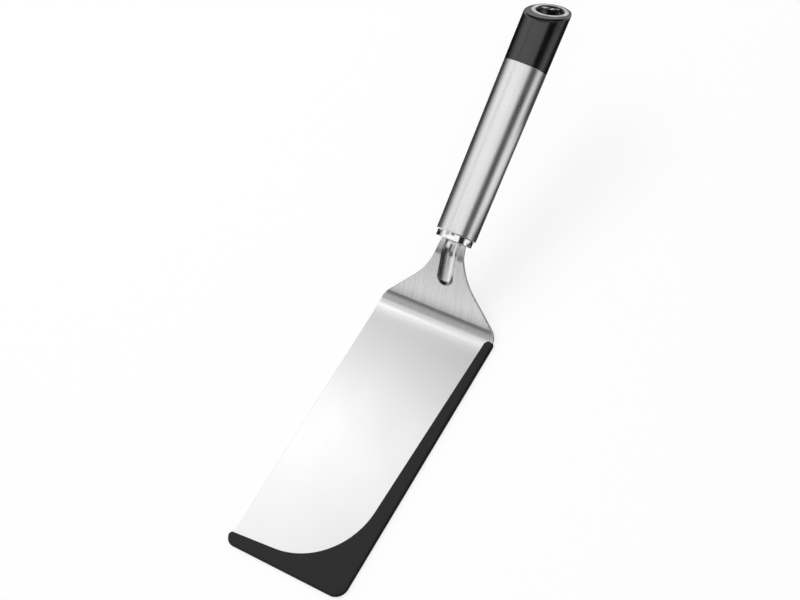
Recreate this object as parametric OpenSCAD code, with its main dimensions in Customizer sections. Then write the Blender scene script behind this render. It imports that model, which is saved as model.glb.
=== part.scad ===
// Kitchen turner: one bent and stamped steel sheet with a soft edge moulded
// on two of its sides, carried by a tapered steel tube handle. The handle
// ends in a moulded cap, cut off at a slant, with a steel hanging eye.

/* [Blade] */
// Width of the steel blade
blade_w = 70.8; // [55:0.1:90]
// Length of the steel blade, from its front edge to the bend
blade_len = 150.2; // [110:0.1:190]
// Thickness of the steel sheet
sheet_t = 1.2; // [0.9:0.05:1.6]
// Rounding of the two front corners of the steel
blade_corner_r = 3.5; // [1:0.1:8]
// Rounding of the shoulders between the blade and the neck
shoulder_r = 9; // [4:0.1:12]

/* [Neck] */
// Radius of the bend on the upper face of the sheet
bend_r = 12.2; // [9:0.1:18]
// Angle of the neck above the blade, in degrees
bend_angle = 47.6; // [35:0.1:60]
// Straight length of the neck
neck_len = 29.7; // [25:0.1:45]
// Radius of the second bend on the upper face of the sheet
crank_r = 19.4; // [15:0.1:28]
// Angle of the handle above the blade, in degrees
handle_angle = 20.9; // [10:0.1:30]
// How far before the end of the bend the neck starts to narrow
flare_lead = 3; // [0:0.1:5]
// Slope of the flare, in degrees from the handle's line
flare_angle = 45; // [38:0.1:50]
// Rounding between the flare and the narrow end of the neck
flare_r = 38; // [20:0.1:44]
// Slope of the neck's narrow end, in degrees from the handle's line
neck_taper = 10.5; // [6:0.1:14]
// Width of the neck where it enters the collar
neck_end_w = 14.8; // [12:0.1:16]

/* [Stiffening groove] */
// Width of the stamped groove on the upper face
groove_w = 9.6; // [6:0.1:11]
// Depth of the stamped groove
groove_depth = 2.4; // [1.2:0.1:3]
// Where the groove's round end lies, from the end of the bend
groove_start = 14.2; // [10:0.1:20]

/* [Soft edge] */
// How far the soft edge stands beyond the long side of the steel
edge_side_lap = 0.95; // [0.6:0.05:3]
// How far the soft edge's free end stands beyond the steel, before rounding
edge_end_lap = 3.2; // [1:0.05:5]
// How far the soft edge stands in front of the steel
edge_front_lap = 2.6; // [1.5:0.05:6]
// Thickness of the soft edge above the sheet
edge_over = 0.8; // [0.5:0.05:1.5]
// Thickness of the soft edge below the sheet
edge_under = 0.6; // [0.4:0.05:1.5]
// Rounding of the soft edge's rim
edge_rim_r = 1.2; // [0.6:0.05:1.2]
// Width of the soft edge at its upper end
edge_leg_w = 5.4; // [4.5:0.1:9]
// Slope of the long inner border, in degrees
edge_leg_slope = 1.92; // [0:0.02:4]
// Width of the soft edge at its free front end
edge_toe_w = 6.4; // [5.5:0.1:10]
// Slope of the front inner border, in degrees
edge_toe_slope = 4.4; // [0:0.1:8]
// Rounding of the inner border
edge_inner_r = 41; // [20:0.5:50]
// Rounding of the front corner
edge_corner_r = 7; // [3:0.1:12]
// How far the soft edge runs up the bend
edge_climb = 4.4; // [1:0.1:6]

/* [Keying holes] */
// Diameter of the holes along the narrow stretches
key_d = 2; // [1.5:0.1:2.6]
// Diameter of the holes in the wide corner
key_corner_d = 4; // [2:0.1:6]
// Distance between two holes along the narrow stretches
key_pitch = 16; // [10:0.5:30]

/* [Collar] */
// Diameter of the collar in front of the tube
collar_d = 19.9; // [18:0.1:21]
// Length of the collar in front of the tube
collar_len = 3.6; // [2:0.1:8]
// Thickness of the collar's front wall
collar_front_t = 2; // [1:0.1:3]
// Length of the collar's skirt inside the tube
skirt_len = 13; // [8:0.5:20]
// Thickness of the collar's skirt
skirt_t = 0.8; // [0.5:0.05:1.5]

/* [Handle tube] */
// Diameter of the tube at its front end
tube_front_d = 22; // [21:0.1:26]
// Diameter of the tube at its rear end
tube_rear_d = 23.86; // [22:0.02:28]
// Length of the tube
tube_len = 95.4; // [80:0.1:130]
// Wall of the tube
tube_wall = 0.6; // [0.5:0.05:1]
// Length of the tube's turned-in front lip
tube_lip_len = 1; // [0.6:0.1:2]

/* [Tang and core] */
// Length of the steel tang inside the handle
tang_len = 46; // [30:0.5:70]
// Width of the tang
tang_w = 12; // [9:0.1:13]
// Diameter of the locking hole in the tang
tang_hole_d = 5; // [3:0.1:6]
// How far the core reaches behind the tang
core_tail = 4; // [2:0.5:10]
// Width of the four flutes in the core
flute_w = 6; // [3:0.1:8]
// Depth of the four flutes in the core
flute_depth = 3; // [1:0.1:4]

/* [End cap] */
// Length of the cap on the handle's centre line
cap_len = 31.8; // [26:0.1:50]
// Slant of the end face, in degrees from square
face_slant = 32; // [20:0.5:36]
// Rounding of the end face's rim
cap_rim_r = 1; // [0.4:0.1:2]
// Length of the plug inside the tube
plug_len = 12; // [8:0.5:20]
// Wall of the hollow plug
plug_wall = 1.8; // [1:0.1:3]
// How far the plug's hollow runs on into the cap
core_hole_depth = 6; // [0:0.5:8]

/* [Hanging eye] */
// Diameter of the hole for a hook
eye_bore_d = 14.8; // [10:0.1:15.4]
// Diameter of the eye's ring in the end face
eye_ring_d = 20; // [17:0.1:21]
// Depth of the eye's ring
eye_ring_t = 1; // [0.6:0.1:1.2]
// Wall of the eye's sleeve
eye_wall = 0.9; // [0.6:0.05:1.5]
// Depth of the eye's sleeve under the end face
eye_sleeve_len = 2.2; // [1.5:0.1:6]
// Angle between the hole and the handle's centre line, in degrees
eye_angle = 45; // [42:0.5:60]
// How far the hole lies below the middle of the end face
eye_drop = 2; // [1:0.1:3]
// Width of the chamfer round the ring's inner rim
eye_rim_w = 0.6; // [0.4:0.1:1]

/* [Hidden] */
$fn = 96;

// Overrun of every cut past the solid that it opens
cut = 1;
// Clearance between pieces that slide together
slip = 0.05;
// How far the arc of a bend laps over the straight lines beside it
arc_lap = 0.005;
// Clearance of the collar's slot round the sheet
slot_gap = 0.15;
// Height of the handle's centre line above the upper face of the tang
axis_lift = 0.2;
// Small roundings of turned edges
turned_r = 0.4;
// Thickness of the slices that shape the cap's rim
slice_t = 0.02;
// Steps in one rounded corner of an outline
corner_steps = 14;
// Steps in one quarter of a moulded rim
rim_steps = 4;
// Steps in the stretch that runs up the bend
climb_steps = 8;
// Steps round one slice of the cap
slice_steps = 64;
// Keying holes along the front stretch
toe_keys = 2;
// Distance between the inner border and the wide corner's keying holes
corner_key_inset = 5;
// Distance between the tang's end and the middle of its locking hole
tang_hole_inset = 7.5;
// Slope of the soft edge's free end, in degrees
toe_lean = 27;
// Shares of the free end's corners in the corner rounding
toe_front_share = 0.78;
toe_back_share = 0.27;
// Where the keying holes of the wide corner lie, as angles round the inner border
corner_key_angles = [22, 45, 68];

// The neck, the second bend and the handle's line follow the sheet
crank_angle = bend_angle - handle_angle;
neck_run = neck_len + crank_r * sin(crank_angle);
half_w = blade_w / 2;
// Reach of the tools that trim the sheet, past all of it
sheet_reach = blade_len + neck_len + tang_len;

// The groove's centre line runs above the sheet
groove_r = (pow(groove_w / 2, 2) + pow(groove_depth, 2)) / (2 * groove_depth);
groove_lift = groove_r - groove_depth;
groove_front_y = groove_start + groove_w / 2;
groove_back_y = collar_len + skirt_len;
rib_r = groove_r + sheet_t;

// Outline of the soft edge, in the sheet's flat plane
edge_right = half_w + edge_side_lap;
edge_front = -(blade_len + edge_front_lap);
toe_y = edge_front + edge_toe_w;
leg_x = edge_right - edge_leg_w;
edge_left = -(half_w + edge_end_lap);

// Handle: distances along its centre line from the collar's front face
tube_z = collar_len;
joint_z = tube_z + tube_len;
face_z = joint_z + cap_len;
tube_slope = (tube_rear_d - tube_front_d) / 2 / tube_len;
face_r = tube_rear_d / 2 + tube_slope * cap_len;
skirt_r = bore_r(tube_z + tube_lip_len) - slip;
core_z = collar_front_t;
core_end_z = tang_len + core_tail;
eye_bore_r = eye_bore_d / 2;
eye_sleeve_r = eye_bore_r + eye_wall;
// Reach of the tools that shape the cap, past all of it
cap_reach = cap_len + tube_rear_d;

// Overall box, and the shift that puts its bottom's centre at the origin
collar_y = bend_r * sin(bend_angle) + neck_len * cos(bend_angle)
         + crank_r * (sin(bend_angle) - sin(handle_angle)) - axis_lift * sin(handle_angle);
tip_y = collar_y + (face_z + face_r * tan(face_slant)) * cos(handle_angle)
      + face_r * sin(handle_angle) - rim_loss();
frame_shift = [
    -(edge_right + min([for (p = rounded(edge_corners())) p.x])) / 2,
    -(tip_y + edge_front) / 2,
    sheet_t + edge_under
];

// Radius of the tube's inside at a distance along the handle
function bore_r(z) = outer_r(z) - tube_wall;

// Radius of the tube and the cap, one straight taper
function outer_r(z) = tube_front_d / 2 + tube_slope * (z - tube_z);

// What the rounding of the cap's rim takes off the part's overall length
function rim_loss() =
    let (a = sin(handle_angle + face_slant), b = cos(handle_angle))
    cap_rim_r / cos(face_slant) * (a + b - norm([a, b]));

function unit(v) = v / norm(v);

// One corner of an outline, given as [x, y, radius] between its two
// neighbours, as the points of an arc that touches both sides
function corner_arc(before, corner, after, steps) =
    let (
        p = [corner.x, corner.y],
        a = unit([before.x, before.y] - p),
        b = unit([after.x, after.y] - p),
        half = acos(a * b) / 2,
        r = corner.z,
        centre = p + unit(a + b) * r / sin(half),
        first = p + a * r / tan(half) - centre,
        last = p + b * r / tan(half) - centre,
        from = atan2(first.y, first.x),
        turn = atan2(cross(first, last), first * last)
    )
    r == 0 ? [p] : [
        for (i = [0:steps])
            let (q = from + turn * i / steps)
            centre + r * [cos(q), sin(q)]
    ];

// A closed outline with every corner rounded by its own radius
function rounded(corners, steps = corner_steps) =
    let (n = len(corners))
    [for (i = [0:n - 1])
        each corner_arc(corners[(i + n - 1) % n], corners[i], corners[(i + 1) % n], steps)];

// A point at a height over the sheet's upper face: beyond the flat blade
// the sheet's length runs round the bend
function on_sheet(x, s, h) =
    let (q = max(s, 0) / bend_r * 180 / PI)
    [x, min(s, 0) + (bend_r - h) * sin(q), bend_r - (bend_r - h) * cos(q)];

// Moves a sub-part from the blade's frame to the part's own frame
module placed() {
    translate(frame_shift) children();
}

// The neck's frame: +Y up the neck, from the end of the bend
module neck_frame() {
    translate([0, bend_r * sin(bend_angle), bend_r * (1 - cos(bend_angle))])
        rotate([bend_angle, 0, 0]) children();
}

// The tang's frame: +Y along the handle, from the collar's front face
module tang_frame() {
    neck_frame()
        translate([0, neck_run, -crank_r * (1 - cos(crank_angle))])
            rotate([-crank_angle, 0, 0]) children();
}

// The handle's frame: +Z along the tube to the cap, +Y to its upper side
module handle_frame() {
    tang_frame()
        translate([0, 0, axis_lift])
            rotate([-90, 0, 0]) rotate([0, 0, 180]) children();
}

// The end face's frame: +Z out of the face
module face_frame() {
    handle_frame()
        translate([0, 0, face_z]) rotate([-face_slant, 0, 0]) children();
}

// The hanging hole's frame: +Z out of the hole's upper mouth
module eye_frame() {
    face_frame()
        translate([0, -eye_drop, 0]) rotate([face_slant - eye_angle, 0, 0]) children();
}

// Side view of all that lies below a height over the sheet's upper face,
// with the bend rounded in and the second one rounded off, and an overrun
// past the front edge, past the tang's end and below
module under(h, over) {
    deep = blade_len + over;
    in_r = bend_r - h;
    out_r = crank_r + h;
    neck_dir = [cos(bend_angle), sin(bend_angle)];
    tang_dir = [cos(handle_angle), sin(handle_angle)];
    bend_end = [in_r * sin(bend_angle), bend_r - in_r * cos(bend_angle)];
    neck_end = bend_end + neck_len * neck_dir;
    crank_centre = neck_end + out_r * [neck_dir.y, -neck_dir.x];
    crank_end = crank_centre - out_r * [tang_dir.y, -tang_dir.x];
    tang_end = crank_end + (tang_len + over) * tang_dir;
    difference() {
        union() {
            polygon([
                [-deep, -deep],
                [-deep, h],
                [0, h],
                bend_end,
                neck_end,
                crank_end,
                tang_end,
                tang_end + deep * [tang_dir.y, -tang_dir.x]
            ]);
            translate(crank_centre) circle(out_r + arc_lap);
        }
        translate([0, bend_r]) circle(in_r + arc_lap);
    }
}

// The bent strip of full width, between two heights over its upper face
module bent_strip(low, high) {
    rotate([90, 0, 90])
        linear_extrude(blade_w, center = true)
            difference() {
                under(high, 0);
                under(low, cut);
            }
}

// Outline of the neck and the tang, seen square to the neck
module neck_outline() {
    flare_y = -flare_lead;
    end_w = neck_end_w / 2;
    tang_half_w = tang_w / 2;
    // Where the flare's line crosses the line of the narrow end
    cross_y = (half_w + flare_y * tan(flare_angle) - end_w - neck_run * tan(neck_taper))
            / (tan(flare_angle) - tan(neck_taper));
    cross_w = half_w - (cross_y - flare_y) * tan(flare_angle);
    tang_y = neck_run + (end_w - tang_half_w) / tan(neck_taper);
    back_y = -(bend_r + blade_len);
    end_y = neck_run + tang_len + cut;
    right = [
        [half_w, back_y, 0],
        [half_w, flare_y, shoulder_r],
        [cross_w, cross_y, flare_r],
        [tang_half_w, tang_y, 0],
        [tang_half_w, end_y, 0]
    ];
    left = [for (i = [len(right) - 1:-1:0]) [-right[i].x, right[i].y, right[i].z]];
    polygon(rounded(concat(right, left)));
}

// Outline of the flat blade with its rounded front corners and keying holes
module blade_outline() {
    back_y = bend_r + neck_len + tang_len + neck_run;
    difference() {
        polygon(rounded([
            [-half_w, back_y, 0],
            [-half_w, -blade_len, blade_corner_r],
            [half_w, -blade_len, blade_corner_r],
            [half_w, back_y, 0]
        ]));
        keying_holes();
    }
}

// Holes that lock the soft edge to the steel
module keying_holes() {
    // Along the leg, midway between its inner border and the steel's side
    leg_end = -(blade_len - edge_inner_r);
    for (s = [-key_pitch / 2:-key_pitch:leg_end])
        translate([(border_x(s) + half_w) / 2, s]) circle(d = key_d);
    // Along the toe, midway between its inner border and the steel's front
    for (i = [0:toe_keys - 1])
        let (x = -half_w + key_pitch / 2 + i * key_pitch)
            translate([x, (border_y(x) - blade_len) / 2]) circle(d = key_d);
    // Round the wide corner
    c = border_centre();
    key_r = edge_inner_r + corner_key_inset;
    for (q = corner_key_angles)
        translate([c.x + key_r * cos(q), c.y - key_r * sin(q)]) circle(d = key_corner_d);
}

// The soft edge's two inner borders, and the centre of their rounding
function border_x(s) = leg_x + s * tan(edge_leg_slope);
function border_y(x) = toe_y - (x - edge_left) * -tan(edge_toe_slope);
function border_corner() =
    let (
        u = tan(edge_leg_slope),
        v = tan(edge_toe_slope),
        y = (toe_y + (leg_x - edge_left) * v) / (1 - u * v)
    )
    [border_x(y), y];
function border_centre() =
    let (
        p = border_corner(),
        a = [sin(edge_leg_slope), cos(edge_leg_slope)],
        b = [-cos(edge_toe_slope), -sin(edge_toe_slope)],
        half = acos(a * b) / 2
    )
    p + unit(a + b) * edge_inner_r / sin(half);

// The sheet before it is stamped: bent, trimmed and pierced
module bent_sheet() {
    intersection() {
        bent_strip(-sheet_t, 0);
        neck_frame()
            translate([0, 0, -sheet_reach])
                linear_extrude(2 * sheet_reach) neck_outline();
        translate([0, 0, -sheet_reach])
            linear_extrude(2 * sheet_reach) blade_outline();
    }
}

// A round bar along the groove's centre line, with a ball at each end. It
// is a little thicker in the second bend, where its straight stretches end
module groove_bar(r) {
    neck_frame() {
        translate([0, groove_front_y, groove_lift]) sphere(r);
        translate([0, neck_len + cut, groove_lift])
            rotate([90, 0, 0]) cylinder(r = r, h = neck_len + cut - groove_front_y);
        translate([0, neck_len, -crank_r])
            rotate([0, -90, 0])
                rotate_extrude(angle = crank_angle)
                    translate([crank_r + groove_lift, 0]) circle(r + slip);
    }
    tang_frame() {
        translate([0, groove_back_y, groove_lift])
            rotate([90, 0, 0]) cylinder(r = r, h = groove_back_y + cut);
        translate([0, groove_back_y, groove_lift]) sphere(r);
    }
}

// Cross-section of the rib that the groove's metal forms below the sheet,
// up to the middle of the sheet's thickness
module rib_profile(r) {
    intersection() {
        translate([0, groove_lift]) circle(r);
        translate([-r, -r * 2]) square([2 * r, r * 2 - sheet_t / 2]);
    }
}

// One round end of the rib, reaching out from a place along the sheet
module rib_end(y, front) {
    intersection() {
        translate([0, y, groove_lift]) sphere(rib_r);
        translate([-rib_r, front ? y - rib_r : y, -rib_r])
            cube([2 * rib_r, rib_r, rib_r - sheet_t / 2]);
    }
}

// The rib below the sheet, along the whole groove
module rib() {
    neck_frame() {
        rib_end(groove_front_y, true);
        translate([0, neck_len + cut, 0])
            rotate([90, 0, 0]) linear_extrude(neck_len + cut - groove_front_y) rib_profile(rib_r);
        translate([0, neck_len, -crank_r])
            rotate([0, -90, 0])
                rotate_extrude(angle = crank_angle)
                    translate([crank_r, 0]) rotate(-90) rib_profile(rib_r + slip);
    }
    tang_frame() {
        translate([0, groove_back_y, 0])
            rotate([90, 0, 0]) linear_extrude(groove_back_y + cut) rib_profile(rib_r);
        rib_end(groove_back_y, false);
    }
}

// The stainless blade, neck and tang, stamped from one sheet
module blade() {
    color("gainsboro") placed() blade_solid();
}

module blade_solid() {
    difference() {
        union() {
            bent_sheet();
            rib();
        }
        groove_bar(groove_r);
        tang_frame()
            translate([0, tang_len - tang_hole_inset, -sheet_t - cut])
                cylinder(d = tang_hole_d, h = sheet_t + 2 * cut);
    }
}

// Corners of the soft edge, first along its outside and then back along
// its inner border, in pairs that face each other
function edge_corners() =
    let (
        toe_reach = edge_toe_w * tan(toe_lean),
        inner = border_corner(),
        end_w = edge_right - border_x(edge_climb),
        end_r = end_w / 2 / (1 + tan(edge_leg_slope))
    )
    [
        [edge_left + toe_reach, edge_front, edge_corner_r * toe_front_share],
        [edge_right, edge_front, edge_corner_r],
        [edge_right, 0, 0],
        [edge_right, edge_climb, end_r],
        [border_x(edge_climb), edge_climb, end_r],
        [border_x(0), 0, 0],
        [inner.x, inner.y, edge_inner_r],
        [edge_left, border_y(edge_left), edge_corner_r * toe_back_share]
    ];

// The moulded edge without the sheet in it: its outline carried round a
// rim profile, closed above and below by strips between facing points
module edge_body() {
    low = -(sheet_t + edge_under);
    line = rounded(edge_corners());
    n = len(line);
    rim = concat(
        [for (i = [0:rim_steps])
            let (q = 90 * i / rim_steps)
            [edge_rim_r * (1 - sin(q)), low + edge_rim_r * (1 - cos(q))]],
        [for (i = [0:rim_steps])
            let (q = 90 * i / rim_steps)
            [edge_rim_r * (1 - cos(q)), edge_over - edge_rim_r * (1 - sin(q))]]
    );
    m = len(rim);
    inward = [for (i = [0:n - 1])
        let (along = unit(line[(i + 1) % n] - line[(i + n - 1) % n]))
        [-along.y, along.x]];
    points = [for (k = [0:m - 1]) for (i = [0:n - 1])
        let (p = line[i] + inward[i] * rim[k][0])
        on_sheet(p.x, p.y, rim[k][1])];
    sides = [for (k = [0:m - 2]) for (i = [0:n - 1])
        let (a = k * n + i, b = k * n + (i + 1) % n)
        each [[a, a + n, b + n], [a, b + n, b]]];
    last = (m - 1) * n;
    caps = [for (i = [0:n / 2 - 2])
        let (a = i, b = i + 1, c = n - 2 - i, d = n - 1 - i)
        each [
            [a, b, c], [a, c, d],
            [last + a, last + c, last + b], [last + a, last + d, last + c]
        ]];
    polyhedron(points = points, faces = concat(sides, caps), convexity = 6);
}

// Side view of the sheet from its front edge to just past the soft edge's
// upper end, at a height over the sheet's upper face
function climb_line(h) =
    [for (i = [-1:climb_steps])
        let (p = on_sheet(0, i < 0 ? -blade_len : 2 * edge_climb * i / climb_steps, h))
        [p.y, p.z]];

// The space that the pierced sheet takes up inside the soft edge
module edge_slot() {
    upper = climb_line(0);
    lower = climb_line(-sheet_t);
    intersection() {
        rotate([90, 0, 90])
            linear_extrude(blade_w, center = true)
                polygon(concat(upper, [for (i = [len(lower) - 1:-1:0]) lower[i]]));
        translate([0, 0, -sheet_reach])
            linear_extrude(2 * sheet_reach) blade_outline();
    }
}

// The soft edge, moulded round the steel's long side and its front, with
// pegs through the keying holes
module soft_edge() {
    color("dimgray") placed()
        difference() {
            edge_body();
            edge_slot();
        }
}

// The collar: a turned cup with a slot for the neck in its front wall
module collar() {
    collar_r = collar_d / 2;
    inner_r = skirt_r - skirt_t;
    step_z = tube_z + tube_lip_len + slip;
    end_z = step_z + skirt_len;
    color("white") placed()
        difference() {
            handle_frame()
                rotate_extrude()
                    polygon(rounded([
                        [0, 0, 0],
                        [collar_r, 0, turned_r],
                        [collar_r, step_z, 0],
                        [skirt_r, step_z, 0],
                        [skirt_r, end_z, turned_r],
                        [inner_r, end_z, 0],
                        [inner_r, collar_front_t, turned_r],
                        [0, collar_front_t, 0]
                    ], rim_steps));
            collar_slot();
        }
}

// The opening for the sheet and its stamped rib, with a gap all round
module collar_slot() {
    slot_w = neck_end_w + 2 * slot_gap;
    tang_frame()
        translate([0, collar_front_t + cut, 0]) rotate([90, 0, 0])
            linear_extrude(collar_front_t + 2 * cut) {
                translate([-slot_w / 2, -sheet_t - slot_gap])
                    square([slot_w, sheet_t + 2 * slot_gap]);
                intersection() {
                    translate([0, groove_lift])
                        circle(groove_r + sheet_t + slot_gap);
                    translate([-slot_w / 2, -collar_d]) square([slot_w, collar_d]);
                }
            }
}

// The moulded core that fills the front of the tube and grips the tang
module tang_core() {
    front_r = skirt_r - skirt_t - slip;
    step_z = tube_z + tube_lip_len + skirt_len + 2 * slip;
    color("darkslategray") placed()
        difference() {
            handle_frame()
                difference() {
                    rotate_extrude()
                        polygon([
                            [0, core_z],
                            [front_r - turned_r, core_z],
                            [front_r, core_z + turned_r],
                            [front_r, step_z],
                            [bore_r(step_z) - slip, step_z],
                            [bore_r(core_end_z) - slip, core_end_z],
                            [0, core_end_z]
                        ]);
                    for (q = [45:90:315])
                        rotate([0, 0, q])
                            translate([bore_r(step_z) - flute_depth, -flute_w / 2, step_z + flute_w])
                                cube([flute_depth + cut, flute_w, core_end_z]);
                }
            blade_solid();
        }
}

// The tapered tube, with its front lip turned in round the collar
module handle_tube() {
    lip_r = collar_d / 2 + slip;
    lip_z = tube_z + tube_lip_len;
    color("lightgray") placed()
        handle_frame()
            rotate_extrude()
                polygon(rounded([
                    [lip_r, tube_z, 0],
                    [outer_r(tube_z), tube_z, turned_r],
                    [outer_r(joint_z), joint_z, turned_r / 2],
                    [bore_r(joint_z), joint_z, 0],
                    [bore_r(lip_z), lip_z, 0],
                    [lip_r, lip_z, 0]
                ], rim_steps));
}

// One slice of the cap, parallel to its slanted end face
module cap_slice(r, depth) {
    face_frame()
        translate([0, depth * tan(face_slant), -depth - slice_t])
            linear_extrude(slice_t) scale([1, 1 / cos(face_slant)]) circle(r, $fn = slice_steps);
}

// The handle's taper, carried on behind the tube
module cap_taper() {
    handle_frame()
        translate([0, 0, joint_z])
            cylinder(r1 = outer_r(joint_z), r2 = outer_r(joint_z + cap_reach), h = cap_reach);
}

// The cap's outside: the taper, cut at a slant with a rounded rim
module cap_body() {
    intersection() {
        cap_taper();
        hull() {
            for (i = [0:rim_steps])
                let (q = 90 * i / rim_steps)
                    cap_slice(face_r - cap_rim_r * (1 - cos(q)), cap_rim_r * (1 - sin(q)));
            cap_slice(face_r + cap_rim_r, cap_reach);
        }
    }
}

// The moulded cap with its hollow plug
module end_cap() {
    plug_r = bore_r(joint_z - plug_len) - slip;
    hollow_r = plug_r - plug_wall;
    color("#303030") placed()
        difference() {
            union() {
                cap_body();
                handle_frame()
                    translate([0, 0, joint_z - plug_len]) {
                        cylinder(r1 = plug_r - turned_r, r2 = plug_r, h = turned_r);
                        translate([0, 0, turned_r])
                            cylinder(r = plug_r, h = plug_len - turned_r + slip);
                    }
            }
            handle_frame()
                translate([0, 0, joint_z - plug_len - cut])
                    cylinder(r = hollow_r, h = plug_len + cut + core_hole_depth);
            eye_blank(slip);
            eye_bar(eye_bore_r);
        }
}

// A long round bar on the hanging hole's axis
module eye_bar(r) {
    eye_frame()
        translate([0, 0, -cap_reach]) cylinder(r = r, h = 2 * cap_reach);
}

// A block behind the slanted end face, down to a depth
module face_block(depth, over) {
    face_frame()
        translate([-cap_reach, -cap_reach, -depth])
            cube([2 * cap_reach, 2 * cap_reach, depth + over]);
}

// The eye's outside, or with a gap the seat for it in the cap
module eye_blank(gap) {
    over = gap > 0 ? cut : 0;
    intersection() {
        eye_bar(eye_ring_d / 2 + gap);
        face_block(eye_ring_t + gap, over);
    }
    intersection() {
        eye_bar(eye_sleeve_r + gap);
        face_block(eye_sleeve_len + gap, over);
    }
}

// The hanging eye: a ring in the end face with a short sleeve in the hole
module hanging_eye() {
    color("white") placed()
        difference() {
            eye_blank(0);
            eye_bar(eye_bore_r);
            face_frame()
                translate([0, -eye_drop, -2 * eye_rim_w])
                    cylinder(
                        r1 = eye_bore_r - eye_rim_w,
                        r2 = eye_bore_r + eye_rim_w + cut,
                        h = 2 * eye_rim_w + cut
                    );
        }
}

blade();
soft_edge();
collar();
tang_core();
handle_tube();
end_cap();
hanging_eye();
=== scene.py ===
import math

import bpy
import numpy as np
from mathutils import Matrix, Vector


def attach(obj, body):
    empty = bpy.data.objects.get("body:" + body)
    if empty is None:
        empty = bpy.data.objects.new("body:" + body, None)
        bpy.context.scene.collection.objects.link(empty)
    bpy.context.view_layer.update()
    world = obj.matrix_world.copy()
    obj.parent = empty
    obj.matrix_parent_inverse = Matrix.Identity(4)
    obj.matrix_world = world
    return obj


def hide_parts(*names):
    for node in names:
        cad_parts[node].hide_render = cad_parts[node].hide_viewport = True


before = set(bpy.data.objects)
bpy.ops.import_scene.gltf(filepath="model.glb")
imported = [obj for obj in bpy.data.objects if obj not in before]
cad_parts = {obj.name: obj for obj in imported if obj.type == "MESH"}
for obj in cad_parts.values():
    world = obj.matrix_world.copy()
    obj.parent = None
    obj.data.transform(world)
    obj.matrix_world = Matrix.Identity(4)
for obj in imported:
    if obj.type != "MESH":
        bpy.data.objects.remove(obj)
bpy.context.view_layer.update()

# The blade, the neck and the tang are one stainless sheet, stamped out and
# bent twice. The groove pressed into the neck stiffens it, and its metal
# stands out below as a rib. The sheet is brushed along its length.
mm = 0.001
uv_mm = 100
sheet_place = np.array([0.584, -8.341, 1.8])
blade_w, blade_len, sheet_t, sheet_edge_r = 70.8, 150.2, 1.2, 0.25
blade_corner_r, shoulder_r, flare_r = 3.5, 9.0, 38.0
bend_r, bend, neck_len = 12.2, math.radians(47.6), 29.7
crank_r, handle_tilt = 19.4, math.radians(20.9)
flare_lead, flare, neck_taper = 3.0, math.radians(45), math.radians(10.5)
neck_end_w, tang_w, tang_len, tang_fillet_r = 14.8, 12.0, 46.0, 2.0
groove_r, groove_lift, groove_shoulder = 6.0, 3.6, 0.5
groove_front, groove_back, groove_wall = 19.0, 16.6, math.tan(math.radians(70))
ease_run, ease_slope = 9.0, 0.05
# The next line shapes the painted shade that darkens the groove's steep ends, and the gray on the line
# after is its colour.
painted_shade_slope, painted_shade_middle, painted_shade_fade = 2.0, 0.8, 5.0
rubbed_rough, painted_shade_gray = 0.19, (0.06, 0.06, 0.06, 1)

crank = bend - handle_tilt
bend_s = bend_r * bend
crank_s = bend_s + neck_len
tang_s = crank_s + crank_r * crank


def lie_on_sheet(x, s, h):
    """Points at x across, s along and h above the sheet's upper face. The
    face is flat up to s = 0, then it follows an arc up, the straight neck,
    an arc back and the straight tang, and h goes along its normal."""
    x, s, h = np.broadcast_arrays(x, s, h)
    up = np.clip(s / bend_r, 0, bend)
    back = np.clip((s - crank_s) / crank_r, 0, crank)
    neck = np.clip(s - bend_s, 0, neck_len)
    tang = np.maximum(s - tang_s, 0)
    y = (np.minimum(s, 0) + bend_r * np.sin(up) + neck * math.cos(bend)
         + crank_r * (math.sin(bend) - np.sin(bend - back)) + tang * math.cos(handle_tilt))
    z = (bend_r * (1 - np.cos(up)) + neck * math.sin(bend)
         + crank_r * (np.cos(bend - back) - math.cos(bend)) + tang * math.sin(handle_tilt))
    tilt = up - back
    return np.stack([x, y - h * np.sin(tilt), z + h * np.cos(tilt)], -1) + sheet_place


def eased_sheet(x, s, h):
    """The same, with both flats curving into the bend a hair early, as in
    pressed sheet: the rise follows a cube law on each flat, and a parabola
    over the bend joins the two at the same slope."""
    into = np.clip(np.where(s < 0, 1 + s / ease_run, 1 - (s - bend_s) / ease_run), 0, 1)
    over = np.clip(s, 0, bend_s)
    return lie_on_sheet(x, s, h + ease_slope * (into ** 3 * ease_run / 3 + over * (1 - over / bend_s)))


def round_corners(corners, steps, closed=True):
    """An outline through corners given as x, y, r: each corner with a radius
    becomes the arc that touches both of its sides. Its centre lies on the
    line that halves the corner, r over the sine of half the angle away, and
    it touches the sides at r over the tangent of that half."""
    corners = np.array(corners, float)
    n = len(corners)
    line = []
    for i, (x, y, r) in enumerate(corners):
        p = np.array([x, y])
        if r == 0 or (not closed and i in (0, n - 1)):
            line.append(p[None])
            continue
        a = corners[i - 1, :2] - p
        b = corners[(i + 1) % n, :2] - p
        a, b = a / np.linalg.norm(a), b / np.linalg.norm(b)
        half = math.acos(np.clip(a @ b, -1, 1)) / 2
        centre = p + (a + b) / np.linalg.norm(a + b) * r / math.sin(half)
        first = p + a * r / math.tan(half) - centre
        last = p + b * r / math.tan(half) - centre
        start = math.atan2(first[1], first[0])
        turn = math.atan2(first[0] * last[1] - first[1] * last[0], first @ last)
        q = start + turn * np.linspace(0, 1, steps + 1)
        line.append(centre + r * np.stack([np.cos(q), np.sin(q)], -1))
    return np.concatenate(line)


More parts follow.
